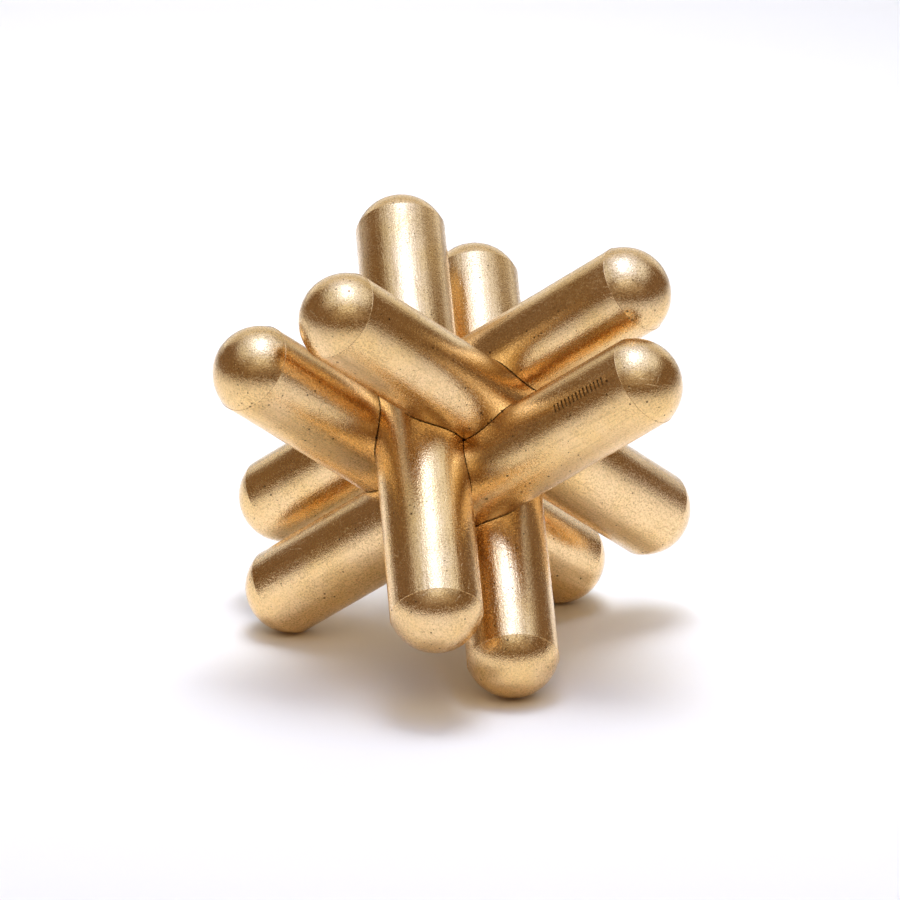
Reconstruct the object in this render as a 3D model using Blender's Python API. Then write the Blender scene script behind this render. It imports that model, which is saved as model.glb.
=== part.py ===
"""Six-piece interlocking burr puzzle made of round brass rods with domed ends.

Three pairs of parallel rods cross at right angles around one centre. Each crossing has one rod
that stays whole and one rod that is hollowed by a round saddle, so the rods lock together. The
assembled burr stands on three rod ends, so one body diagonal of the three rod directions is
vertical. One rod, the key, has no saddle: it slides out along its length and frees the others.

Frame: metres, +Z up, origin on the table under the centre of the burr. The lock rods lean away
from the front: their lower ends point to -Y.
"""

import math

import bpy
from mathutils import Matrix, Vector

# Driving dimensions, in metres
ROD_DIAMETER = 0.0127        # half-inch bar
ROD_LENGTH = 0.0762          # three inches, over the domes
PAIR_PITCH = 0.015875        # between the axes of two parallel rods
DOME_HEIGHT = 0.0048         # from the dome's edge to its tip
SADDLE_CLEARANCE = 0.0003    # gap between a rod and the saddle that goes around it

ROD_RADIUS = ROD_DIAMETER / 2
HALF_PITCH = PAIR_PITCH / 2
DOME_RADIUS = (ROD_RADIUS ** 2 + DOME_HEIGHT ** 2) / (2 * DOME_HEIGHT)
SADDLE_RADIUS = ROD_RADIUS + SADDLE_CLEARANCE

# Fineness of the meshes
ROUND_STEPS = 48
DOME_STEPS = 7
SHARP_ANGLE = math.radians(12)

# The three rod directions when the burr stands on three ends, as columns: each climbs or drops
# by 1 / sqrt(3), and they are square to each other.
LEAN = Matrix((
    (0, math.sqrt(1 / 2), math.sqrt(1 / 2)),
    (math.sqrt(2 / 3), -math.sqrt(1 / 6), math.sqrt(1 / 6)),
    (math.sqrt(1 / 3), math.sqrt(1 / 3), -math.sqrt(1 / 3)),
))

# A dome's ball centre lies this far along its rod, and the lowest three of them set the height.
BALL_CENTRE = ROD_LENGTH / 2 - DOME_RADIUS
CENTRE_HEIGHT = (BALL_CENTRE + HALF_PITCH) / math.sqrt(3) + DOME_RADIUS

# Which way a rod lies in the burr's own axes, as a turn of a rod that stands along Z
ALONG_X = Matrix.Rotation(math.pi / 2, 4, "Y")
ALONG_Y = Matrix.Rotation(-math.pi / 2, 4, "X")
ALONG_Z = Matrix.Identity(4)

# Every rod: its direction, its centre in the burr's axes, and the rods that its saddles go around
RODS = {
    "key_rod": (ALONG_Z, (0, HALF_PITCH, 0), ()),
    "anchor_rod": (ALONG_Z, (0, -HALF_PITCH, 0), ("left_lock_rod", "right_lock_rod")),
    "left_lock_rod": (ALONG_X, (0, 0, -HALF_PITCH), ("rear_cross_rod", "front_cross_rod", "key_rod")),
    "right_lock_rod": (ALONG_X, (0, 0, HALF_PITCH), ("rear_cross_rod", "front_cross_rod", "key_rod")),
    "rear_cross_rod": (ALONG_Y, (HALF_PITCH, 0, 0), ("key_rod", "anchor_rod")),
    "front_cross_rod": (ALONG_Y, (-HALF_PITCH, 0, 0), ("key_rod", "anchor_rod")),
}

BRASS = {"colour": (0.74, 0.52, 0.24, 1), "metallic": 1.0, "roughness": 0.36}


def clear_scene():
    for old in list(bpy.data.objects):
        bpy.data.objects.remove(old, do_unlink=True)


def brass_material(name):
    """Satin turned brass."""
    material = bpy.data.materials.new(name)
    material.use_nodes = True
    shader = material.node_tree.nodes["Principled BSDF"]
    shader.inputs["Base Color"].default_value = BRASS["colour"]
    shader.inputs["Metallic"].default_value = BRASS["metallic"]
    shader.inputs["Roughness"].default_value = BRASS["roughness"]
    material.diffuse_color = BRASS["colour"]
    return material


def dome_profile():
    """Points (radius, height) of the upper dome's arc, from its edge to just before its tip."""
    edge_angle = math.asin(ROD_RADIUS / DOME_RADIUS)
    points = []
    for step in range(DOME_STEPS):
        angle = edge_angle * (1 - step / DOME_STEPS)
        points.append((DOME_RADIUS * math.sin(angle), BALL_CENTRE + DOME_RADIUS * math.cos(angle)))
    return points


def turned_mesh(name, profile, tips):
    """A closed turned body along Z: rings from the bottom up, closed by a tip point at each end."""
    corners = []
    faces = []
    for radius, height in profile:
        for step in range(ROUND_STEPS):
            angle = 2 * math.pi * step / ROUND_STEPS
            corners.append((radius * math.cos(angle), radius * math.sin(angle), height))
    for ring in range(len(profile) - 1):
        for step in range(ROUND_STEPS):
            here = ring * ROUND_STEPS + step
            beside = ring * ROUND_STEPS + (step + 1) % ROUND_STEPS
            faces.append((here, beside, beside + ROUND_STEPS, here + ROUND_STEPS))
    last_ring = (len(profile) - 1) * ROUND_STEPS
    low_tip, high_tip = len(corners), len(corners) + 1
    corners += [(0, 0, tips[0]), (0, 0, tips[1])]
    for step in range(ROUND_STEPS):
        beside = (step + 1) % ROUND_STEPS
        faces.append((beside, step, low_tip))
        faces.append((last_ring + step, last_ring + beside, high_tip))
    mesh = bpy.data.meshes.new(name)
    mesh.from_pydata(corners, [], faces)
    mesh.validate()
    mesh.shade_smooth()
    mesh.set_sharp_from_angle(angle=SHARP_ANGLE)
    return mesh


def rod_mesh(name):
    """A round bar with a shallow dome at each end."""
    upper = dome_profile()
    lower = [(radius, -height) for radius, height in reversed(upper)]
    return turned_mesh(name, lower + upper, (-ROD_LENGTH / 2, ROD_LENGTH / 2))


def clearance_mesh(name):
    """A plain cylinder, a rod's diameter and the clearance around it, longer than the rod."""
    reach = ROD_LENGTH / 2 + ROD_RADIUS
    return turned_mesh(name, [(SADDLE_RADIUS, -reach), (SADDLE_RADIUS, reach)], (-reach, reach))


def place(thing, burr, turn, centre):
    bpy.context.scene.collection.objects.link(thing)
    thing.parent = burr
    thing.matrix_local = Matrix.Translation(Vector(centre)) @ turn


def build_burr():
    burr = bpy.data.objects.new("burr_centre", None)
    bpy.context.scene.collection.objects.link(burr)
    burr.matrix_world = Matrix.Translation((0, 0, CENTRE_HEIGHT)) @ LEAN.to_4x4()
    return burr


def build_clearances(burr):
    """One cutter around each rod's place, for the saddles of the rods that cross it."""
    mesh = clearance_mesh("clearance")
    cutters = {}
    for name, (turn, centre, _) in RODS.items():
        cutter = bpy.data.objects.new(name + "_clearance", mesh)
        place(cutter, burr, turn, centre)
        cutter.hide_render = True
        cutter.display_type = "WIRE"
        cutters[name] = cutter
    return cutters


def build_rod(name, burr, cutters):
    turn, centre, goes_around = RODS[name]
    mesh = rod_mesh(name)
    mesh.materials.append(brass_material(name + "_brass"))
    rod = bpy.data.objects.new(name, mesh)
    place(rod, burr, turn, centre)
    for owner in goes_around:
        saddle = rod.modifiers.new("saddle_for_" + owner, "BOOLEAN")
        saddle.operation = "DIFFERENCE"
        saddle.solver = "EXACT"
        saddle.object = cutters[owner]
    return rod


def main():
    clear_scene()
    burr = build_burr()
    cutters = build_clearances(burr)
    for name in RODS:
        build_rod(name, burr, cutters)


main()
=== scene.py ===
"""Looks of the interlocking burr puzzle: six satin brass rods on a pale table.

Each CAD rod is replaced by a fine turned and milled rod in the same place. Every length is in
metres, in the CAD frame: +Z up, the table at Z = 0, the burr's centre above the origin.
"""

import math
from collections import namedtuple

import bpy
from mathutils import Euler, Matrix, Vector


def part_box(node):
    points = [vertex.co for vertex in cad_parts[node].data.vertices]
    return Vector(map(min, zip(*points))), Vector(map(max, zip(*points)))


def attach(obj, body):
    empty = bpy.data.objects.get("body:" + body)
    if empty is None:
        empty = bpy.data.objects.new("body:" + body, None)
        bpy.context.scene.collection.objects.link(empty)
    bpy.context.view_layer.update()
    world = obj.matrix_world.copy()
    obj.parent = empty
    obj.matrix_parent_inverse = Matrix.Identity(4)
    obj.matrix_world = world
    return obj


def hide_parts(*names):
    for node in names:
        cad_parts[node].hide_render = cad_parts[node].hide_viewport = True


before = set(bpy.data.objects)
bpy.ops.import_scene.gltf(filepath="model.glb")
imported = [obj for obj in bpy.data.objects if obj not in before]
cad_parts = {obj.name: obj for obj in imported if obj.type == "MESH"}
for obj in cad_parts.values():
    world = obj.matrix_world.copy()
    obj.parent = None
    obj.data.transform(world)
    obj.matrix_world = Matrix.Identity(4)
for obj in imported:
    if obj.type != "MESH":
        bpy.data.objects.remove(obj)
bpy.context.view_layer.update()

# Rods, as in the CAD
ROD_RADIUS = 0.00635
ROD_LENGTH = 0.0762
DOME_HEIGHT = 0.0048

# Finish of the rods
SADDLE_GAP = 0.00011         # a milled saddle fits its neighbour this closely
SHOULDER = 0.00006           # the step from the bar in to its dome
EDGE_ROUND = 0.00004         # the broken edge of that step
DOME_BASE = ROD_RADIUS - SHOULDER
DOME_RADIUS = (DOME_BASE ** 2 + DOME_HEIGHT ** 2) / (2 * DOME_HEIGHT)
BALL_CENTRE = ROD_LENGTH / 2 - DOME_RADIUS

# Fineness of the meshes
ROUND_STEPS = 180
DOME_STEPS = 26
EDGE_STEPS = 4
CUTTER_STEPS = 200
SHARP_ANGLE = math.radians(24)

# A row of plain engraved ticks near the upper end of one rod
TICK_ROD = "front_cross_rod"
TICKS = 14
TICK_PITCH = 0.00064
TICK_WIDTH = 0.00025         # along the rod
TICK_HEIGHT = 0.0012         # around the rod, and how far the cutter stands out of it
TICK_DEPTH = 0.00030
TICK_ROW_MIDDLE = 0.0264     # from the rod's middle
TICK_TURN = math.radians(106)    # around the rod, to its upper front side
BOX_FACES = ((0, 3, 2, 1), (4, 5, 6, 7), (0, 1, 5, 4), (1, 2, 6, 5), (2, 3, 7, 6), (3, 0, 4, 7))

# The three rod directions of the standing burr
LEAN = Matrix((
    (0, math.sqrt(1 / 2), math.sqrt(1 / 2)),
    (math.sqrt(2 / 3), -math.sqrt(1 / 6), math.sqrt(1 / 6)),
    (math.sqrt(1 / 3), math.sqrt(1 / 3), -math.sqrt(1 / 3)),
))
ALONG_X = Matrix.Rotation(math.pi / 2, 3, "Y")
ALONG_Y = Matrix.Rotation(-math.pi / 2, 3, "X")
ALONG_Z = Matrix.Identity(3)

# Every rod: its direction, its body, and the rods that its saddles go around
Rod = namedtuple("Rod", "direction body goes_around")
RODS = {
    "key_rod": Rod(ALONG_Z, "key", ()),
    "anchor_rod": Rod(ALONG_Z, "locked_rods", ("left_lock_rod", "right_lock_rod")),
    "left_lock_rod": Rod(ALONG_X, "locked_rods", ("rear_cross_rod", "front_cross_rod", "key_rod")),
    "right_lock_rod": Rod(ALONG_X, "locked_rods", ("rear_cross_rod", "front_cross_rod", "key_rod")),
    "rear_cross_rod": Rod(ALONG_Y, "locked_rods", ("key_rod", "anchor_rod")),
    "front_cross_rod": Rod(ALONG_Y, "locked_rods", ("key_rod", "anchor_rod")),
}

# Brass, as linear colours
BRASS_CLEAN = (0.93, 0.668, 0.36, 1)
BRASS_WARM = (0.90, 0.615, 0.268, 1)
BRASS_DUSK = (0.42, 0.262, 0.102, 1)
BRASS_PIT = (0.10, 0.055, 0.02, 1)

# Noises in the brass: features to a metre, octaves of detail, and the finer octaves' strength
BLOTCHES = (110, 3, 0.5)
PATCHES = (190, 3, 0.6)
STREAKS = (1100, 3, 0.6)
FINE_STREAKS = (3000, 1, 0.5)
GRAIN = (4800, 2, 0.6)
SPECKLE = (3800, 2, 0.7)
FROST = (4000, 2, 0.6)
PIT_PATCHES = (260, 1, 0.5)
SMOOTH_BLOBS = (1, 0, 0.5)   # in a space stretched to the shape of one scratch
SPECKS_TO_METRE = 3300
PITS_TO_METRE = 1500
LENGTHWISE = (1, 1, 0.06)    # draws a pattern out along the rod

# Places in a noise, far enough apart that two patterns don't follow each other
SEED_SHIFT = (0.37, 0.61, 0.23)
SPECKLE_SHIFT = (0.5, 0.2, 0.8)
FROST_SHIFT = (0.7, 0.4, 0.1)
SPECKS_SHIFT = (0.3, 0.9, 0.4)

# Ramps: the two values that each runs between, and what it gives at them
BLOTCH_TO_WARM = (0.35, 0.70, 0, 1)
SPECKLE_TO_DUSK = (0.42, 0.66, 0, 1)
PATCH_TO_DUSK = (0.38, 0.62, 0.34, 0.66)
FINE_STREAK_TO_DUSK = (0.50, 0.75, 0, 0.25)
PICK_TO_SPECK_SIZE = (0.45, 1, 0, 0.42)
PICK_TO_PIT_SIZE = (0.52, 1, 0, 0.34)
PATCH_TO_PIT_SIZE = (0.40, 0.58, 0.4, 1)
STREAK_TO_ROUGHNESS = (0.30, 0.70, -0.03, 0.03)
BLOTCH_TO_ROUGHNESS = (0.30, 0.70, 0.11, 0.15)
FROST_TO_ROUGHNESS = (0.52, 0.66, 0, 0.22)

# How strongly the small marks colour the brass
SPECK_SHARE = 0.35
PIT_SHARE = 0.85
PATINA_SHARE = 0.65

# The patina in the ticks keeps to this stretch of the rod, and under its skin
PATINA_START = 0.0215
PATINA_END = 0.0315
PATINA_FADE = 0.0001
PATINA_DEPTH = 0.00005

# Families of hairline scratches: turn in degrees, width, length, and how rare they are
SCRATCHES = (
    ((20, 35, 70), 0.00020, 0.0030, 0.80),
    ((65, -25, 15), 0.00018, 0.0022, 0.80),
    ((-40, 10, 130), 0.00020, 0.0032, 0.81),
)
SCRATCH_EDGE = 0.05

# Relief of the brass, from its lowest to its highest
GRAIN_RELIEF = 0.000038
STREAK_RELIEF = 0.000022
FINE_STREAK_RELIEF = 0.000010
SCRATCH_RELIEF = 0.000012

# Sockets of the Mix node that carry colours
MIX_COLOUR_FIRST = 6
MIX_COLOUR_SECOND = 7
MIX_COLOUR_RESULT = 2

# Table and room
FLOOR_SIZE = 6.0
TABLE_COLOUR = (0.865, 0.857, 0.815, 1)
TABLE_ROUGHNESS = 0.75
TABLE_SPECULAR = 0.2
ROOM_COLOUR = (0.218, 0.138, 0.080, 1)

# Softboxes: place, what each aims at, width and height, linear colour, and spread in degrees.
# The overhead ones make up one big softbox, brightest in its middle.
SOFTBOXES = {
    "overhead_core": ((-0.01, 0.01, 0.72), (-0.01, 0.01, 0), (0.12, 0.34), (2.5, 3.1, 5.3), 180),
    "overhead_inner": ((0, 0.01, 0.73), (0, 0.01, 0), (0.42, 0.50), (0.34, 0.45, 0.78), 150),
    "overhead_middle": ((0, 0.10, 0.74), (0, 0.10, 0), (0.64, 1.00), (0.54, 0.68, 1.05), 150),
    "overhead_front": ((0, -0.61, 0.73), (0, -0.61, 0), (0.64, 0.42), (0.62, 0.69, 0.74), 150),
    "overhead_right": ((0.46, 0, 0.73), (0.46, 0, 0), (0.28, 0.80), (0.60, 0.72, 0.94), 150),
    "overhead_left": ((-0.46, 0, 0.73), (-0.46, 0, 0), (0.28, 0.80), (0.44, 0.52, 0.60), 150),
    "outer_right": ((0.68, -0.18, 0.72), (0.68, -0.18, 0), (0.26, 0.90), (0.36, 0.41, 0.46), 150),
    "outer_left": ((-0.68, -0.30, 0.72), (-0.68, -0.30, 0), (0.26, 0.70), (0.30, 0.31, 0.31), 150),
    "front_high": ((0.05, -1.05, 0.72), (0, 0, 0.03), (1.9, 0.50), (0.22, 0.21, 0.18), 180),
    "back_panel": ((0.25, 1.2, 0.75), (0.25, 0, 0.1), (2.3, 1.1), (0.51, 0.55, 0.54), 180),
    "back_low": ((0.25, 1.2, 0.22), (0.25, 0, 0.1), (2.3, 0.3), (0.60, 0.68, 0.76), 180),
}
# These light the table and are hidden from reflections
TABLE_WASHES = {
    "table_wash": ((0.03, 0.14, 0.60), (0, 0.10, 0), (0.30, 0.30), (0.96, 0.99, 1.01), 56),
    "table_wash_near": ((0, -0.50, 0.50), (0, -0.03, 0), (0.36, 0.36), (0.22, 0.15, 0.07), 50),
    "table_wash_far": ((0, 0.62, 0.55), (0, 0.38, 0), (0.40, 0.40), (0.46, 0.45, 0.42), 60),
}

# Camera
CAMERA_AZIMUTH = math.radians(-6.0)
CAMERA_ELEVATION = math.radians(17.9)
CAMERA_ROLL = math.radians(0.5)
CAMERA_DISTANCE = 0.882
CAMERA_LENS = 254.0                            # millimetres, as is the sensor
CAMERA_SENSOR = 36.0
CAMERA_NEAR = 0.05
CAMERA_FAR = 20.0
CAMERA_AIM = Vector((-0.0008, 0.0, -0.0011))   # from the burr's centre


# ---------------------------------------------------------------- places

def node_centre(name):
    low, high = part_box(name)
    return (Vector(low) + Vector(high)) / 2


def rod_place(name):
    turn = LEAN @ RODS[name].direction
    return Matrix.Translation(node_centre(name)) @ turn.to_4x4()


def add_object(name, data):
    item = bpy.data.objects.new(name, data)
    bpy.context.scene.collection.objects.link(item)
    return item


# ---------------------------------------------------------------- meshes

def new_mesh(name, corners, faces):
    mesh = bpy.data.meshes.new(name)
    mesh.from_pydata(corners, [], faces)
    return mesh


def turned_mesh(name, profile, tips, steps):
    """A closed turned body along Z: rings from the bottom up, closed by a tip point at each end."""
    corners = []
    faces = []
    for radius, height in profile:
        for step in range(steps):
            angle = 2 * math.pi * step / steps
            corners.append((radius * math.cos(angle), radius * math.sin(angle), height))
    for ring in range(len(profile) - 1):
        for step in range(steps):
            here = ring * steps + step
            beside = ring * steps + (step + 1) % steps
            faces.append((here, beside, beside + steps, here + steps))
    last_ring = (len(profile) - 1) * steps
    low_tip, high_tip = len(corners), len(corners) + 1
    corners += [(0, 0, tips[0]), (0, 0, tips[1])]
    for step in range(steps):
        beside = (step + 1) % steps
        faces.append((beside, step, low_tip))
        faces.append((last_ring + step, last_ring + beside, high_tip))
    mesh = new_mesh(name, corners, faces)
    mesh.validate()
    return mesh


def rounded_end():
    """Points (radius, height) of the upper end: the bar's broken edge, its shoulder and the dome."""
    shoulder_height = ROD_LENGTH / 2 - DOME_HEIGHT
    points = []
    for step in range(EDGE_STEPS + 1):
        angle = math.pi / 2 * step / EDGE_STEPS
        points.append((
            ROD_RADIUS - EDGE_ROUND + EDGE_ROUND * math.cos(angle),
            shoulder_height - EDGE_ROUND + EDGE_ROUND * math.sin(angle),
        ))
    base_angle = math.asin(DOME_BASE / DOME_RADIUS)
    for step in range(DOME_STEPS):
        angle = base_angle * (1 - step / DOME_STEPS)
        points.append((DOME_RADIUS * math.sin(angle), BALL_CENTRE + DOME_RADIUS * math.cos(angle)))
    return points


def rod_mesh(name):
    upper = rounded_end()
    lower = [(radius, -height) for radius, height in reversed(upper)]
    return turned_mesh(name, lower + upper, (-ROD_LENGTH / 2, ROD_LENGTH / 2), ROUND_STEPS)


def cutter_mesh(name):
    """A neighbouring rod with the saddle's clearance, longer than any cut."""
    radius = ROD_RADIUS + SADDLE_GAP
    reach = ROD_LENGTH / 2 + ROD_RADIUS
    return turned_mesh(name, [(radius, -reach), (radius, reach)], (-reach, reach), CUTTER_STEPS)


def tick_mesh(name):
    """One small box for each tick, standing across the rod's skin."""
    corners = []
    faces = []
    turn = Matrix.Rotation(TICK_TURN, 3, "Z")
    for tick in range(TICKS):
        height = TICK_ROW_MIDDLE + (tick - (TICKS - 1) / 2) * TICK_PITCH
        first = len(corners)
        for radius in (ROD_RADIUS - TICK_DEPTH, ROD_RADIUS + TICK_HEIGHT):
            for side, end in ((-1, -1), (1, -1), (1, 1), (-1, 1)):
                corner = Vector((radius, side * TICK_HEIGHT / 2, height + end * TICK_WIDTH / 2))
                corners.append(turn @ corner)
        for face in BOX_FACES:
            faces.append([first + corner for corner in face])
    return new_mesh(name, corners, faces)


def freeze(piece):
    """Swap a piece's mesh for the one its modifiers give."""
    graph = bpy.context.evaluated_depsgraph_get()
    mesh = bpy.data.meshes.new_from_object(piece.evaluated_get(graph))
    old = piece.data
    piece.modifiers.clear()
    piece.data = mesh
    bpy.data.meshes.remove(old)


def build_cutters():
    """What is cut out of the rods: every rod itself, with clearance, and the ticks."""
    cutter_shape = cutter_mesh("saddle_cutter")
    cutters = {}
    for name in RODS:
        cutters[name] = add_object("cutter_" + name, cutter_shape)
        cutters[name].matrix_world = rod_place(name)
    cutters["ticks"] = add_object("cutter_ticks", tick_mesh("cutter_ticks"))
    cutters["ticks"].matrix_world = rod_place(TICK_ROD)
    return cutters


def build_rods():
    cutters = build_cutters()
    rods = {}
    for name in RODS:
        rod = add_object("brass_" + name, rod_mesh("brass_" + name))
        rod.matrix_world = rod_place(name)
        cuts = list(RODS[name].goes_around)
        if name == TICK_ROD:
            cuts.append("ticks")
        for cut in cuts:
            notch = rod.modifiers.new("notch_" + cut, "BOOLEAN")
            notch.operation = "DIFFERENCE"
            notch.solver = "EXACT"
            notch.object = cutters[cut]
        bpy.context.view_layer.update()
        freeze(rod)
        rod.data.transform(rod.matrix_world)
        rod.matrix_world = Matrix.Identity(4)
        rod.data.shade_smooth()
        rod.data.set_sharp_from_angle(angle=SHARP_ANGLE)
        rods[name] = rod
    for cutter in cutters.values():
        bpy.data.objects.remove(cutter, do_unlink=True)
    return rods


# ---------------------------------------------------------------- materials

class Nodes:
    """Short calls for building one material's node tree."""

    def __init__(self, name):
        self.material = bpy.data.materials.new(name)
        self.material.use_nodes = True
        self.tree = self.material.node_tree
        self.shader = self.tree.nodes["Principled BSDF"]

    def add(self, kind, **values):
        node = self.tree.nodes.new(kind)
        for key, value in values.items():
            setattr(node, key, value)
        return node

    def link(self, source, target):
        self.tree.links.new(source, target)

    def put(self, target, value):
        """Give an input a number, a colour or another node's output."""
        if isinstance(value, bpy.types.NodeSocket):
            self.link(value, target)
        else:
            target.default_value = value

    def rod_space(self, place):
        """Coordinates along a rod: Z on its axis, from its middle."""
        node = self.add("ShaderNodeMapping", vector_type="TEXTURE")
        self.link(self.add("ShaderNodeTexCoord").outputs["Object"], node.inputs["Vector"])
        node.inputs["Location"].default_value = place.to_translation()
        node.inputs["Rotation"].default_value = place.to_euler()
        return node.outputs["Vector"]

    def mapped(self, vector, scale=(1, 1, 1), shift=(0, 0, 0)):
        node = self.add("ShaderNodeMapping")
        self.link(vector, node.inputs["Vector"])
        node.inputs["Scale"].default_value = scale
        node.inputs["Location"].default_value = shift
        return node.outputs["Vector"]

    def radius(self, on_rod):
        """Distance from the rod's axis."""
        node = self.add("ShaderNodeVectorMath", operation="LENGTH")
        self.link(self.mapped(on_rod, scale=(1, 1, 0)), node.inputs[0])
        return node.outputs["Value"]

    def height(self, on_rod):
        """Distance along the rod, from its middle."""
        node = self.add("ShaderNodeSeparateXYZ")
        self.link(on_rod, node.inputs["Vector"])
        return node.outputs["Z"]

    def noise(self, vector, kind):
        node = self.add("ShaderNodeTexNoise")
        self.link(vector, node.inputs["Vector"])
        for socket, value in zip(("Scale", "Detail", "Roughness"), kind):
            node.inputs[socket].default_value = value
        return node.outputs["Fac"]

    def spots(self, vector, to_metre):
        """Scattered points: the distance to the nearest, and a random pick that each has."""
        node = self.add("ShaderNodeTexVoronoi", feature="F1")
        self.link(vector, node.inputs["Vector"])
        node.inputs["Scale"].default_value = to_metre
        return node.outputs["Distance"], node.outputs["Color"]

    def ramp(self, value, ends, interpolation="SMOOTHSTEP"):
        node = self.add("ShaderNodeMapRange", clamp=True, interpolation_type=interpolation)
        self.link(value, node.inputs["Value"])
        for socket, end in zip(("From Min", "From Max", "To Min", "To Max"), ends):
            node.inputs[socket].default_value = end
        return node.outputs["Result"]

    def hairlines(self, vector, turn, width, length, rarity):
        """Sparse straight hairlines: 1 on a line, 0 elsewhere."""
        node = self.add("ShaderNodeMapping", vector_type="TEXTURE")
        self.link(vector, node.inputs["Vector"])
        node.inputs["Rotation"].default_value = [math.radians(angle) for angle in turn]
        node.inputs["Scale"].default_value = (width, length, length)
        blobs = self.noise(node.outputs["Vector"], SMOOTH_BLOBS)
        return self.ramp(blobs, (rarity, rarity + SCRATCH_EDGE, 0, 1))

    def math(self, operation, first, second):
        node = self.add("ShaderNodeMath", operation=operation)
        self.put(node.inputs[0], first)
        self.put(node.inputs[1], second)
        return node.outputs["Value"]

    def mix(self, share, first, second):
        node = self.add("ShaderNodeMix", data_type="RGBA")
        self.put(node.inputs["Factor"], share)
        self.put(node.inputs[MIX_COLOUR_FIRST], first)
        self.put(node.inputs[MIX_COLOUR_SECOND], second)
        return node.outputs[MIX_COLOUR_RESULT]

    def bump(self, height, distance, under=None):
        node = self.add("ShaderNodeBump")
        node.inputs["Distance"].default_value = distance
        self.link(height, node.inputs["Height"])
        if under is not None:
            self.link(under, node.inputs["Normal"])
        return node.outputs["Normal"]


def small_spots(n, here):
    """Fine dark specks everywhere, and a few wider pits, larger in some places than in others."""
    distance, pick = n.spots(n.mapped(here, shift=SPECKS_SHIFT), SPECKS_TO_METRE)
    specks = n.math("LESS_THAN", distance, n.ramp(pick, PICK_TO_SPECK_SIZE, "LINEAR"))
    distance, pick = n.spots(here, PITS_TO_METRE)
    size = n.ramp(pick, PICK_TO_PIT_SIZE, "LINEAR")
    size = n.math("MULTIPLY", size, n.ramp(n.noise(here, PIT_PATCHES), PATCH_TO_PIT_SIZE))
    pits = n.math("LESS_THAN", distance, size)
    return specks, pits


def tick_patina(n, on_rod):
    """How much dark patina there is: some inside the engraved ticks, none elsewhere."""
    height = n.height(on_rod)
    sunk = n.math("LESS_THAN", n.radius(on_rod), ROD_RADIUS - PATINA_DEPTH)
    sunk = n.math("MULTIPLY", sunk, n.ramp(height, (PATINA_START, PATINA_START + PATINA_FADE, 0, 1)))
    sunk = n.math("MULTIPLY", sunk, n.ramp(height, (PATINA_END, PATINA_END + PATINA_FADE, 1, 0)))
    return n.math("MULTIPLY", sunk, PATINA_SHARE)


def brass(rod_name, seed):
    """Drawn bar with a worn satin skin: fine grain, a speckle of darker and of duller spots,
    lengthwise streaks, specks, pits and hairline scratches."""
    n = Nodes("brass_" + rod_name)
    on_rod = n.rod_space(rod_place(rod_name))
    here = n.mapped(on_rod, shift=[seed * shift for shift in SEED_SHIFT])
    along = n.mapped(here, scale=LENGTHWISE)

    blotches = n.noise(here, BLOTCHES)
    patches = n.noise(here, PATCHES)
    streaks = n.noise(along, STREAKS)
    fine_streaks = n.noise(along, FINE_STREAKS)
    grain = n.noise(here, GRAIN)
    speckle = n.noise(n.mapped(here, shift=SPECKLE_SHIFT), SPECKLE)
    frost = n.noise(n.mapped(here, shift=FROST_SHIFT), FROST)
    specks, pits = small_spots(n, here)
    scratches = 0.0
    for family in SCRATCHES:
        scratches = n.math("MAXIMUM", scratches, n.hairlines(here, *family))

    dusk = n.math("MULTIPLY", n.ramp(speckle, SPECKLE_TO_DUSK), n.ramp(patches, PATCH_TO_DUSK))
    colour = n.mix(n.ramp(blotches, BLOTCH_TO_WARM), BRASS_CLEAN, BRASS_WARM)
    colour = n.mix(dusk, colour, BRASS_DUSK)
    colour = n.mix(n.ramp(fine_streaks, FINE_STREAK_TO_DUSK), colour, BRASS_DUSK)
    colour = n.mix(n.math("MULTIPLY", specks, SPECK_SHARE), colour, BRASS_DUSK)
    colour = n.mix(n.math("MULTIPLY", pits, PIT_SHARE), colour, BRASS_PIT)
    if rod_name == TICK_ROD:
        colour = n.mix(tick_patina(n, on_rod), colour, BRASS_PIT)
    n.link(colour, n.shader.inputs["Base Color"])

    rough = n.ramp(streaks, STREAK_TO_ROUGHNESS)
    rough = n.math("ADD", rough, n.ramp(blotches, BLOTCH_TO_ROUGHNESS))
    rough = n.math("ADD", rough, n.ramp(frost, FROST_TO_ROUGHNESS))
    n.link(rough, n.shader.inputs["Roughness"])
    n.shader.inputs["Metallic"].default_value = 1.0

    normal = n.bump(grain, GRAIN_RELIEF)
    normal = n.bump(streaks, STREAK_RELIEF, under=normal)
    normal = n.bump(fine_streaks, FINE_STREAK_RELIEF, under=normal)
    normal = n.bump(n.math("SUBTRACT", 1.0, scratches), SCRATCH_RELIEF, under=normal)
    n.link(normal, n.shader.inputs["Normal"])
    return n.material


def table_material():
    n = Nodes("pale_table")
    n.shader.inputs["Base Color"].default_value = TABLE_COLOUR
    n.shader.inputs["Roughness"].default_value = TABLE_ROUGHNESS
    n.shader.inputs["Specular IOR Level"].default_value = TABLE_SPECULAR
    return n.material


# ---------------------------------------------------------------- studio

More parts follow.
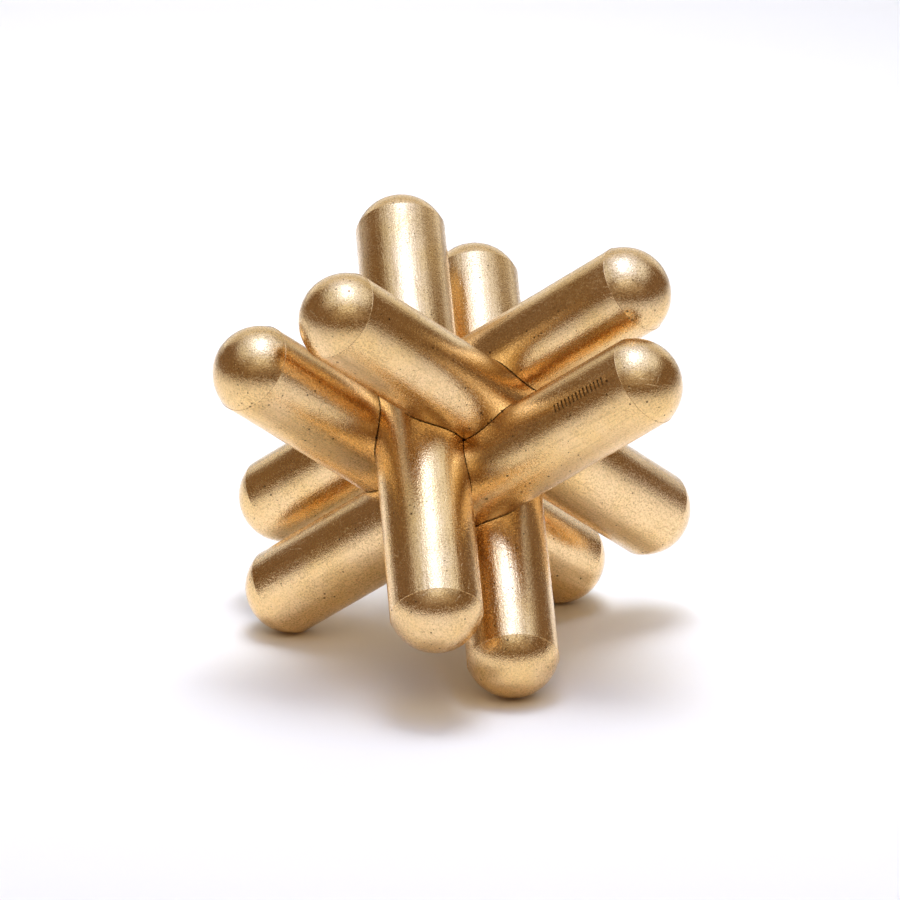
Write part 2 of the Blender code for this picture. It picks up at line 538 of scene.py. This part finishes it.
def build_table():
    half = FLOOR_SIZE / 2
    corners = [(-half, -half, 0), (half, -half, 0), (half, half, 0), (-half, half, 0)]
    table = add_object("table", new_mesh("table", corners, [(0, 1, 2, 3)]))
    table.data.materials.append(table_material())


def soft_light(name, place, aim, size, glow, spread):
    """A softbox whose face shines with the linear colour glow."""
    width, height = size
    brightest = max(glow)
    light = bpy.data.lights.new(name, "AREA")
    light.shape = "RECTANGLE"
    light.size = width
    light.size_y = height
    light.energy = math.pi * width * height * brightest
    light.color = [channel / brightest for channel in glow]
    light.spread = math.radians(spread)
    lamp = add_object(name, light)
    lamp.location = place
    lamp.rotation_euler = (Vector(aim) - Vector(place)).to_track_quat("-Z", "Y").to_euler()
    return lamp


def build_lights():
    for name, softbox in SOFTBOXES.items():
        soft_light(name, *softbox)
    for name, wash in TABLE_WASHES.items():
        lamp = soft_light(name, *wash)
        lamp.visible_glossy = False
    world = bpy.data.worlds.new("studio")
    world.use_nodes = True
    world.node_tree.nodes["Background"].inputs["Color"].default_value = ROOM_COLOUR
    bpy.context.scene.world = world


def build_camera(centre):
    camera = add_object("camera", bpy.data.cameras.new("camera"))
    camera.data.lens = CAMERA_LENS
    camera.data.sensor_width = CAMERA_SENSOR
    camera.data.clip_start = CAMERA_NEAR
    camera.data.clip_end = CAMERA_FAR
    turn = Euler((math.pi / 2 - CAMERA_ELEVATION, 0, CAMERA_AZIMUTH), "XYZ").to_matrix()
    turn = turn @ Matrix.Rotation(CAMERA_ROLL, 3, "Z")
    place = centre + CAMERA_AIM + turn @ Vector((0, 0, CAMERA_DISTANCE))
    camera.matrix_world = Matrix.Translation(place) @ turn.to_4x4()
    bpy.context.scene.camera = camera


# ---------------------------------------------------------------- scene

def main():
    centre = Vector((0, 0, (node_centre("key_rod") + node_centre("anchor_rod")).z / 2))
    build_camera(centre)
    build_table()
    build_lights()
    bpy.context.scene.view_settings.view_transform = "Standard"
    for seed, (name, rod) in enumerate(build_rods().items(), start=1):
        rod.data.materials.clear()
        rod.data.materials.append(brass(name, seed))
        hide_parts(name)
        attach(rod, RODS[name].body)


main()
